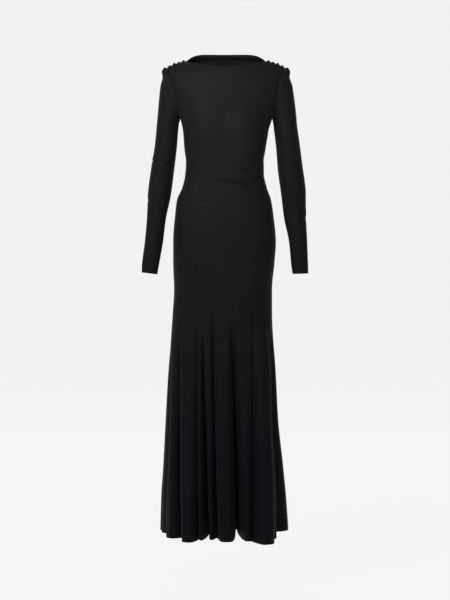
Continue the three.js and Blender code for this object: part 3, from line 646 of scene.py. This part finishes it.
def cloth_piece(name, points, material, wrap=False):
    """A thin closed shell on a grid of points in millimetres, with the cloth's own UV map."""
    rows, columns = points.shape[:2]
    inner = points - grid_normals(points, wrap) * SHELL
    count = rows * columns
    index = np.arange(count).reshape(rows, columns)
    right = np.roll(index, -1, axis=1)
    take = slice(None) if wrap else slice(0, columns - 1)
    upper, lower = index[:-1], index[1:]
    outer = np.stack([upper, lower, right[1:], right[:-1]], axis=-1)[:, take].reshape(-1, 4)
    top = np.stack([index[0], right[0], right[0] + count, index[0] + count], axis=-1)[take]
    base = np.stack([index[-1] + count, right[-1] + count, right[-1], index[-1]], axis=-1)[take]
    faces = [outer, outer[:, ::-1] + count, top, base]
    if not wrap:
        first, last = (slice(None), 0), (slice(None), -1)
        faces += [
            np.stack([upper[first] + count, lower[first] + count, lower[first], upper[first]], axis=-1),
            np.stack([upper[last], lower[last], lower[last] + count, upper[last] + count], axis=-1),
        ]
    corners = np.concatenate([points.reshape(-1, 3), inner.reshape(-1, 3)]) * 0.001
    piece = add_mesh(name, corners.tolist(), np.concatenate(faces).tolist(), material)
    step_across = np.linalg.norm(np.diff(points, axis=1), axis=-1)
    step_down = np.linalg.norm(np.diff(points, axis=0), axis=-1)
    across = np.concatenate([np.zeros((rows, 1)), np.cumsum(step_across, axis=1)], axis=1)
    across -= across[:, columns // 2][:, None]
    down = np.concatenate([np.zeros((1, columns)), np.cumsum(step_down, axis=0)], axis=0)
    flat = np.stack([across, down], axis=-1).reshape(-1, 2) * 0.001
    flat = np.concatenate([flat, flat])
    corner_points = np.empty(len(piece.data.loops), dtype=np.int32)
    piece.data.loops.foreach_get("vertex_index", corner_points)
    layer = piece.data.uv_layers.new(name="cloth")
    layer.data.foreach_set("uv", flat[corner_points].reshape(-1))
    return piece


# Cloth past a line of sewing, as distance beyond the line and depth below the surface: a seam
# allowance trimmed close, one pressed under the next piece, and neck or hem edges folded back.
TRIMMED = [(-0.25, 0.4), (-0.1, 0.9), (-0.15, 1.4), (-0.15, 1.8), (-0.15, 2.1), (-0.15, 2.4)]
PRESSED = [(-0.25, 0.4), (-0.1, 1.5), (0.4, 3.2), (2, 3.9), (5, 4.0), (8, 4.0)]
NECK_TURNING = [(-0.25, 0.35), (0, 1.3), (-0.25, 2.25), (-0.95, 2.6), (-5, 2.7), (-15, 2.7)]
HEM_TURNING = [(-0.25, 0.35), (0, 1.3), (-0.25, 2.25), (-0.95, 2.6), (-8, 2.7), (-21, 2.7)]
PULLED_BACK = 0.8


def rimmed(grid, edge, profile, other=None, share=None, wrap=False):
    """A grid with its cloth carried on past one edge; share says how far each point takes other."""
    flip = edge in ("left", "right")
    points = np.swapaxes(grid, 0, 1) if flip else grid
    normals = grid_normals(grid, wrap)
    normals = np.swapaxes(normals, 0, 1) if flip else normals
    if edge in ("bottom", "right"):
        points, normals = points[::-1], normals[::-1]
    beyond = points[0] - points[1]
    beyond /= np.maximum(np.linalg.norm(beyond, axis=-1, keepdims=True), 1e-6)
    steps = np.array(profile, float)[:, None, :]
    if other is not None:
        steps = mix(steps, np.array(other, float)[:, None, :], share[None, :, None])
    added = points[0] + steps[..., :1] * beyond - steps[..., 1:] * normals[0]
    pulled = points[:1] - PULLED_BACK * beyond
    made = np.concatenate([added[::-1], pulled, points[1:]])
    if edge in ("bottom", "right"):
        made = made[::-1]
    return np.swapaxes(made, 0, 1) if flip else made


# A row of stitches follows a line of points laid on the cloth
STITCH_INPUTS = {
    "Geometry": "NodeSocketGeometry",
    "Pitch": "NodeSocketFloat",
    "Length": "NodeSocketFloat",
    "Width": "NodeSocketFloat",
    "Thread": "NodeSocketMaterial",
}
stitch_group = bpy.data.node_groups.new("stitching", "GeometryNodeTree")
for key, kind in STITCH_INPUTS.items():
    stitch_group.interface.new_socket(key, in_out="INPUT", socket_type=kind)
stitch_group.interface.new_socket("Geometry", in_out="OUTPUT", socket_type="NodeSocketGeometry")
stitching = NodeTree(stitch_group)
group_inputs = stitching.nodes.new("NodeGroupInput").outputs
given = {key: Socket(stitching, group_inputs[key]) for key in STITCH_INPUTS}

line = stitching.node("GeometryNodeMeshToCurve", values={"Mesh": given["Geometry"]})
spacing = {"Curve": line, "Length": given["Pitch"]}
spots = stitching.node("GeometryNodeCurveToPoints", {"mode": "LENGTH"}, spacing)
tangent = Socket(stitching, spots.link.node.outputs["Tangent"])
turned = stitching.node("FunctionNodeAlignRotationToVector", {"axis": "Z"}, {"Vector": tangent})
bead = stitching.node("GeometryNodeMeshIcoSphere", values={"Radius": 0.5, "Subdivisions": 1})
size = stitching.node("ShaderNodeCombineXYZ", values=[given["Width"], given["Width"], given["Length"]])
placed = {"Points": spots, "Instance": bead, "Rotation": turned, "Scale": size}
laid = stitching.node("GeometryNodeInstanceOnPoints", values=placed)
real = stitching.node("GeometryNodeRealizeInstances", values={"Geometry": laid})
sewn_thread = {"Geometry": real, "Material": given["Thread"]}
threaded = stitching.node("GeometryNodeSetMaterial", values=sewn_thread)
stitching.links.new(threaded.link, stitching.nodes.new("NodeGroupOutput").inputs[0])

thread = Finish("black_thread")
place = thread.node("ShaderNodeTexCoord", output=3)
strands = thread.node("ShaderNodeTexNoise", values={"Vector": place, "Scale": 900.0, "Detail": 2.0})
thread_tone = thread.blend(strands, (0.006, 0.006, 0.007, 1), (0.014, 0.013, 0.015, 1))
thread.set(Base_Color=thread_tone, Roughness=0.5, Specular_IOR_Level=0.2)

STITCH_PITCH = 3.4
STITCH_LENGTH = 2.5
STITCH_WIDTH = 0.45
STITCH_LIFT = 0.15
TWIN_GAP = 4.0
NECK_STITCH_INSET = 11.0
HEM_STITCH_INSET = 16.0


def stitch_lines(grid, edge, distance, wrap=False):
    """Twin lines on a grid's outside, a distance in from its top or bottom edge."""
    points, normals = grid, grid_normals(grid, wrap)
    if edge == "bottom":
        points, normals = points[::-1], normals[::-1]
    steps = np.linalg.norm(np.diff(points, axis=0), axis=-1)
    run = np.concatenate([np.zeros((1, points.shape[1])), np.cumsum(steps, axis=0)])
    lifted = points + STITCH_LIFT * normals
    lines = []
    for away in (distance, distance + TWIN_GAP):
        line = [
            [np.interp(away, run[:, k], lifted[:, k, axis]) for axis in range(3)]
            for k in range(points.shape[1])
        ]
        lines.append(line + line[:1] if wrap else line)
    return lines


def neck_lines(grid):
    """Twin lines along the neck edge, which is where the top edge leaves the shoulder seams."""
    off_shoulder = np.abs(grid[0, :, 1]) > TURNING_FADE
    return stitch_lines(grid[:, off_shoulder], "top", NECK_STITCH_INSET)


def sew(name, lines):
    """The stitches of one piece, as one plain mesh."""
    corners = [corner for line in lines for corner in line]
    edges = []
    start = 0
    for line in lines:
        edges += [(start + k, start + k + 1) for k in range(len(line) - 1)]
        start += len(line)
    mesh = bpy.data.meshes.new(name + "_path")
    mesh.from_pydata((np.array(corners) * 0.001).tolist(), edges, [])
    path = add_object(name + "_path", mesh)
    modifier = path.modifiers.new("stitching", "NODES")
    modifier.node_group = stitch_group
    settings = {
        "Pitch": STITCH_PITCH * 0.001,
        "Length": STITCH_LENGTH * 0.001,
        "Width": STITCH_WIDTH * 0.001,
        "Thread": thread.material,
    }
    for item in stitch_group.interface.items_tree:
        if item.in_out == "INPUT" and item.name in settings:
            modifier[item.identifier] = settings[item.name]
    graph = bpy.context.evaluated_depsgraph_get()
    made = bpy.data.meshes.new_from_object(path.evaluated_get(graph))
    made.name = name
    bpy.data.objects.remove(path)
    piece = add_object(name, made)
    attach(piece, "root")
    return piece


# Rows of a grid as from, to and step, closer at the yoke, the creases and the panel tops
ROW_STEPS = [
    (0, 60, 2.4),
    (60, 156, 4.0),
    (156, 178, 2.0),
    (178, 320, 4.6),
    (320, 440, 2.2),
    (440, 496, 4.6),
    (496, 524, 0.9),
    (524, 740, 4.8),
    (740, HEM_DROP, 5.4),
]
SHOULDER_COLUMN_SHARE = 0.3
EVEN_COLUMNS_LENGTH = 200.0
BODICE_END_DROP = 600.0
CLOTH_SAMPLES = 2400
EVEN_SHARE = 0.25


def rows_of_drops(start):
    drops = []
    for low, high, step in ROW_STEPS:
        count = max(1, round((high - low) / step))
        drops += [low + (high - low) * k / count for k in range(count)]
    drops.append(HEM_DROP)
    return np.array([drop for drop in drops if drop >= start])


def column_places(hem_turns, count):
    """Where columns lie between the folds, mostly evenly spread along the cloth at the hem."""
    fine = np.linspace(0, len(hem_turns) - 1, CLOTH_SAMPLES)
    ring = body_point(np.interp(fine, range(len(hem_turns)), hem_turns), HEM_DROP)
    run = np.concatenate([[0], np.cumsum(np.linalg.norm(np.diff(ring, axis=0), axis=1))])
    run = mix(run, np.linspace(0, run[-1], len(run)), EVEN_SHARE)
    return np.interp(np.linspace(0, run[-1], count), run, fine)


def facing_out(grid, face):
    """The grid with its columns in the order that makes its faces look out of the dress."""
    normals = grid_normals(grid)
    outward = -1 if face == "front" else 1
    middle = normals[normals.shape[0] // 3, normals.shape[1] // 2, 1]
    return grid if middle * outward > 0 else grid[:, ::-1]


def middle_grid(face, creases, count):
    """Points of front or back from its top edge to the hem, between its two panel seams."""
    start, sign = (0, 1) if face == "front" else (180, -1)
    folds = [fold for fold in FOLDS if fold.hem is not None and abs(fold.hem - start) < MIDDLE_FOLD_TURN]
    folds.sort(key=lambda fold: sign * fold.hem)

    def marks(drop):
        low = start - sign * seam_turn(face, -1, drop)
        high = start + sign * seam_turn(face, 1, drop)
        return [low, *[fold_turn(fold, drop) for fold in folds], high]

    places = column_places(marks(HEM_DROP), count)
    even = np.linspace(-1, 1, count)
    size = np.abs(even)
    inner = 1 - SHOULDER_COLUMN_SHARE
    on_shoulder = NECK_SHARE + (size - inner) / SHOULDER_COLUMN_SHARE * (1 - NECK_SHARE)
    top = np.where(size <= inner, size / inner * NECK_SHARE, on_shoulder) * np.sign(even)
    rows = []
    for drop in rows_of_drops(0):
        here = np.full(count, drop)
        shares = mix(top, even, ease((drop - YOKE_DROP) / EVEN_COLUMNS_LENGTH))
        if drop < YOKE_DROP:
            rows.append(yoke_point(face, shares, here))
            continue
        if drop < PANEL_TOP_DROP:
            rows.append(face_point(face, shares, here, armhole_turn(face, here)))
            continue
        if drop > BODICE_END_DROP:
            at = max(drop, FOLD_TOP_DROP)
            local = sign * (np.interp(places, range(len(folds) + 2), marks(at)) - start)
            fold_shares = local / seam_turn(face, np.where(local >= 0, 1, -1), at)
            towards_folds = ease((drop - BODICE_END_DROP) / (FOLD_TOP_DROP - BODICE_END_DROP))
            shares = mix(shares, fold_shares, towards_folds)
        rows.append(face_point(face, shares, here, seam_turn(face, np.where(shares >= 0, 1, -1), here)))
    grid = facing_out(np.array(rows), face)
    depth = crease_depth(grid[..., 0], -grid[..., 2], creases)
    return grid + grid_normals(grid) * depth[..., None]


TURNING_STARTS = 2.0
TURNING_FADE = 6.0


def sewn_edges(grid, shoulder, side_seam):
    """Front or back with its neck and hem turned in and allowances at its seams."""
    on_neck = ease((np.abs(grid[0, :, 1]) - TURNING_STARTS) / TURNING_FADE)
    drops = rows_of_drops(0)
    at_side = ease((drops - UNDERARM_DROP) / TURNING_FADE)
    at_side = at_side * ease((PANEL_TOP_DROP + TURNING_FADE - drops) / TURNING_FADE)
    for edge in ("left", "right"):
        grid = rimmed(grid, edge, TRIMMED, side_seam, at_side)
    on_neck = np.concatenate([np.zeros(len(TRIMMED)), on_neck, np.zeros(len(TRIMMED))])
    grid = rimmed(grid, "top", shoulder, NECK_TURNING, on_neck)
    return rimmed(grid, "bottom", HEM_TURNING)


MIDDLE_COLUMNS = 117
# The lower colour, about half as bright as the upper, is painted shade on the skirt towards the hem, with a
# bluer tint.
body_jersey = jersey("black_jersey", 0.0074, (1.0, 0.95, 1.1), (0.53, 0.5, 0.8))
front_grid = middle_grid("front", FRONT_CREASES, MIDDLE_COLUMNS)
front = cloth_piece("front_cloth", sewn_edges(front_grid, PRESSED, TRIMMED), body_jersey)
front_lines = neck_lines(front_grid) + stitch_lines(front_grid, "bottom", HEM_STITCH_INSET)
front_stitches = sew("front_stitches", front_lines)
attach(front, "root")
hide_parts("front")


# The back
# Cut like the front but with a high, nearly straight neckline and room over the seat, and
# falling in its own uneven pleats behind.
BACK_CREASES = [
    ((-110, 330), (-40, 350), (40, 346), 6.0, 3.0),
    ((110, 352), (50, 366), (-16, 362), 6.0, 3.0),
    ((-104, 384), (-60, 392), (-10, 388), 6.5, 2.4),
    ((24, 392), (70, 400), (112, 396), 6.0, 2.0),
    ((-120, 210), (-96, 238), (-80, 284), 9.0, 2.2),
    ((122, 206), (98, 236), (84, 280), 9.0, 2.4),
    ((-140, 90), (-112, 112), (-84, 130), 9.0, 1.8),
    ((142, 94), (110, 116), (86, 138), 9.0, 1.8),
    ((-40, 300), (0, 310), (44, 304), 8.0, 1.6),
    ((-92, 640), (-50, 662), (0, 668), 9.0, 2.0),
    ((96, 630), (60, 656), (14, 662), 9.0, 1.8),
    ((-46, 690), (-50, 730), (-44, 786), 13.0, 2.0),
    ((36, 690), (44, 736), (40, 790), 13.0, 2.0),
]
back_grid = middle_grid("back", BACK_CREASES, MIDDLE_COLUMNS)
back = cloth_piece("back_cloth", sewn_edges(back_grid, TRIMMED, PRESSED), body_jersey)
back_lines = neck_lines(back_grid) + stitch_lines(back_grid, "bottom", HEM_STITCH_INSET)
back_stitches = sew("back_stitches", back_lines)
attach(back, "root")
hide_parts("back")


# The flared side panels
# Four panels that start in a point at the side seams, curve in over the thighs and widen to
# the hem, sewn to front and back with plain narrow seams.
SIDE_COLUMNS = 61


def side_grid(face, side):
    """Points of one panel, its columns spread from the panel seam round to the side seam."""
    start, sign = (0, side) if face == "front" else (180, -side)

    def away(fold, drop):
        return ((fold_turn(fold, drop) - start) * sign + 180) % 360 - 180

    folds = [fold for fold in FOLDS if fold.hem is not None]
    folds = [fold for fold in folds if MIDDLE_FOLD_TURN < away(fold, HEM_DROP) < SIDE_SEAM_TURN]
    folds.sort(key=lambda fold: away(fold, HEM_DROP))

    def marks(drop):
        between = [away(fold, drop) for fold in folds]
        return np.array([seam_turn(face, side, drop), *between, SIDE_SEAM_TURN])

    places = column_places(start + sign * marks(HEM_DROP), SIDE_COLUMNS)
    rows = []
    for drop in rows_of_drops(PANEL_TOP_DROP + 0.5):
        at = max(drop, FOLD_TOP_DROP)
        local = np.interp(places, range(len(folds) + 2), marks(at))
        seam_at = seam_turn(face, side, at)
        share = (local - seam_at) / (SIDE_SEAM_TURN - seam_at)
        turn = start + sign * mix(seam_turn(face, side, drop), SIDE_SEAM_TURN, share)
        rows.append(body_point(turn, np.full(SIDE_COLUMNS, drop)))
    return np.array(rows)


for face in ("front", "back"):
    for side_name, side in (("left", 1), ("right", -1)):
        name = f"side_{face}_{side_name}"
        laid_out = side_grid(face, side)
        grid = facing_out(laid_out, face)
        panel_edge, side_edge = ("left", "right") if grid is laid_out else ("right", "left")
        sewn = rimmed(grid, panel_edge, PRESSED)
        sewn = rimmed(sewn, side_edge, PRESSED if face == "front" else TRIMMED)
        piece = cloth_piece(f"{name}_cloth", rimmed(sewn, "bottom", HEM_TURNING), body_jersey)
        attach(piece, "root")
        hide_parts(name)
        lines = stitch_lines(grid, "bottom", HEM_STITCH_INSET)
        sew(f"{name}_stitches", lines)


# The sleeves
# Long fitted sleeves set into the armholes, their caps eased in with small gathers, bent a
# little at the elbow and narrowing to plain open cuffs.
SLEEVE_NAMES = "place inner inner_drop outer outer_drop half mid"
SLEEVES = {
    "left": Table(
        SLEEVE_NAMES,
        [
            (0, 147, 179, 194, 19, 46, 0),
            (1, 147.5, 181, 201, 33, 46, 1),
            (2, 148, 183, 200, 48, 46, 2),
            (3, 148.5, 186, 209, 74, 46.5, 3),
            (4, 149.5, 190, 215, 112, 46.5, 4),
            (5, 150.5, 197, 220, 152, 46, 5),
            (6, 152, 212, 224, 196, 46, 5),
            (7, 158, 260, 232, 253, 45, 6),
            (8, 164, 335, 242, 329, 43, 8),
            (9, 174, 409, 251, 404, 41, 6),
            (10, 183, 484, 251.5, 479, 36, 0),
            (11, 198, 558, 254.5, 554, 31, -8),
            (12, 205, 634, 257, 631, 26.5, -16),
            (13, 209, 658, 257.5, 656, 25, -19),
        ],
    ),
    "right": Table(
        SLEEVE_NAMES,
        [
            (0, 139, 179, 188, 19, 46, 0),
            (1, 139.5, 181, 195, 33, 46, 1),
            (2, 140.5, 183, 193, 48, 46, 2),
            (3, 141.5, 186, 200, 74, 46.5, 3),
            (4, 142.5, 190, 204.5, 112, 46.5, 4),
            (5, 143.5, 197, 208, 152, 46, 5),
            (6, 145, 212, 212, 196, 46, 5),
            (7, 149, 262, 217.5, 254, 45, 6),
            (8, 158, 337, 229.5, 329, 43, 8),
            (9, 167.5, 411, 239, 404, 41, 6),
            (10, 183, 486, 242, 479, 36, 0),
            (11, 192, 560, 248, 554, 31, -8),
            (12, 205, 635, 257, 629, 26.5, -16),
            (13, 209, 659, 257.5, 653, 25, -19),
        ],
    ),
}
SLEEVE_COLUMNS = 96
SLEEVE_ROWS_PER_PLACE = [4, 4, 4, 6, 8, 9, 9, 34, 34, 18, 18, 18, 16, 6]
CAP_GATHER_COUNT = 8
CAP_GATHER_OUT = 3.0
CAP_GATHER_RISE = 0.8
CAP_GATHER_SIDEWAYS = 0.6
CAP_GATHER_SPREAD = 78.0
CAP_GATHER_FADE = 25.0
CAP_END_PLACE = 4
CUFF_STITCH_INSET = 11.0

# Creases on a sleeve, as turn round it (0 at the front, 90 outside) and drop in millimetres
SLEEVE_CREASES = {
    "left": [
        ((-60, 332), (0, 342), (40, 338), 3.4, 2.6),
        ((10, 372), (50, 378), (90, 372), 5.0, 2.0),
        ((-26, 385), (-14, 430), (-24, 486), 9.0, 3.4),
        ((-60, 300), (-20, 312), (20, 306), 7.0, 1.6),
        ((60, 470), (90, 486), (120, 480), 7.0, 1.4),
    ],
    "right": [
        ((10, 312), (50, 308), (96, 304), 2.8, 4.4),
        ((-80, 322), (-30, 319), (16, 315), 2.8, 4.4),
        ((-40, 350), (0, 358), (40, 350), 6.0, 1.8),
        ((40, 420), (70, 430), (100, 424), 7.0, 1.4),
    ],
}


def armhole_loop(side):
    """Armhole edge from the underarm up the front, over the tip and down the back."""
    sign = 1.0 if side == "left" else -1.0
    drops = rows_of_drops(0)
    yoke = drops[(drops > 0) & (drops < YOKE_DROP)]
    below = drops[(drops >= YOKE_DROP) & (drops < UNDERARM_DROP)]
    ends = {}
    for face in ("front", "back"):
        on_yoke = yoke_point(face, np.full(yoke.shape, sign), yoke)
        ends[face] = [*on_yoke, *face_point(face, sign, below, armhole_turn(face, below))]
    under = body_point(sign * SIDE_SEAM_TURN, UNDERARM_DROP)
    tip = top_edge("front", np.array([sign]))[0]
    return np.array([under, *ends["front"][::-1], tip, *ends["back"]])


def sleeve_grid(side):
    """Rings from the armhole down to the cuff, their columns counted round from the underarm."""
    sign = 1.0 if side == "left" else -1.0
    table = SLEEVES[side]
    loop = armhole_loop(side)
    under, tip = loop[0], loop[np.argmax(loop[:, 2])]
    axis = (tip - under) / np.linalg.norm(tip - under)
    up = np.clip((loop - under) @ axis / np.linalg.norm(tip - under), 0, 1)
    angle = np.arccos(1 - 2 * up)
    half = int(np.argmax(loop[:, 2]))
    angle = np.where(np.arange(len(loop)) <= half, angle, 2 * np.pi - angle)
    closed = np.concatenate([loop, loop[:1]])
    turns = np.concatenate([angle, [2 * np.pi]])
    columns = np.linspace(0, 2 * np.pi, SLEEVE_COLUMNS, endpoint=False)
    ring = np.stack([np.interp(columns, turns, closed[:, k]) for k in range(3)], axis=-1)
    places = []
    for k, rows in enumerate(SLEEVE_ROWS_PER_PLACE[:-1]):
        places += [k + i / rows for i in range(rows)]
    places.append(len(SLEEVE_ROWS_PER_PLACE) - 1)
    grid = [ring]
    from_top = np.degrees(np.abs(columns - np.pi))
    along = (from_top + CAP_GATHER_SPREAD) / (2 * CAP_GATHER_SPREAD)
    wave = (1 - np.cos(2 * np.pi * CAP_GATHER_COUNT * along)) / 2
    strength = ease((CAP_GATHER_SPREAD - from_top) / CAP_GATHER_FADE)
    rise = (1 - np.cos(columns)) / 2
    for place in places:
        gather = CAP_GATHER_OUT * strength * wave * (1 - ease(place / CAP_END_PLACE))
        x = mix(table("inner", place), table("outer", place), rise)
        drop = mix(table("inner_drop", place), table("outer_drop", place), rise)
        y = table("mid", place) - (table("half", place) + CAP_GATHER_RISE * gather) * np.sin(columns)
        lift = gather * np.maximum(0, -np.cos(columns))
        x = x + CAP_GATHER_SIDEWAYS * lift
        grid.append(np.stack([sign * x, y, CAP_GATHER_RISE * lift - drop], axis=-1))
    grid = np.array(grid)
    normals = grid_normals(grid, wrap=True)
    middle = grid.mean(axis=1, keepdims=True)
    facing = np.sign(np.sum(normals * (grid - middle), axis=-1, keepdims=True).mean())
    across = np.broadcast_to(np.degrees(columns) - 90, grid.shape[:2])
    depth = crease_depth(across, -grid[..., 2], SLEEVE_CREASES[side])
    grid = grid + facing * normals * depth[..., None]
    return grid if facing > 0 else grid[:, ::-1]


sleeve_jersey = jersey("black_jersey_sleeves", 0.0066, (1.06, 0.89, 1.12), (1.06, 0.89, 1.12))
for side_name in ("left", "right"):
    grid = sleeve_grid(side_name)
    sewn = rimmed(grid, "top", PRESSED, wrap=True)
    sewn = rimmed(sewn, "bottom", NECK_TURNING, wrap=True)
    piece = cloth_piece(f"sleeve_{side_name}_cloth", sewn, sleeve_jersey, wrap=True)
    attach(piece, "root")
    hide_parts(f"sleeve_{side_name}")
    lines = stitch_lines(grid, "bottom", CUFF_STITCH_INSET, wrap=True)
    sew(f"sleeve_{side_name}_stitches", lines)
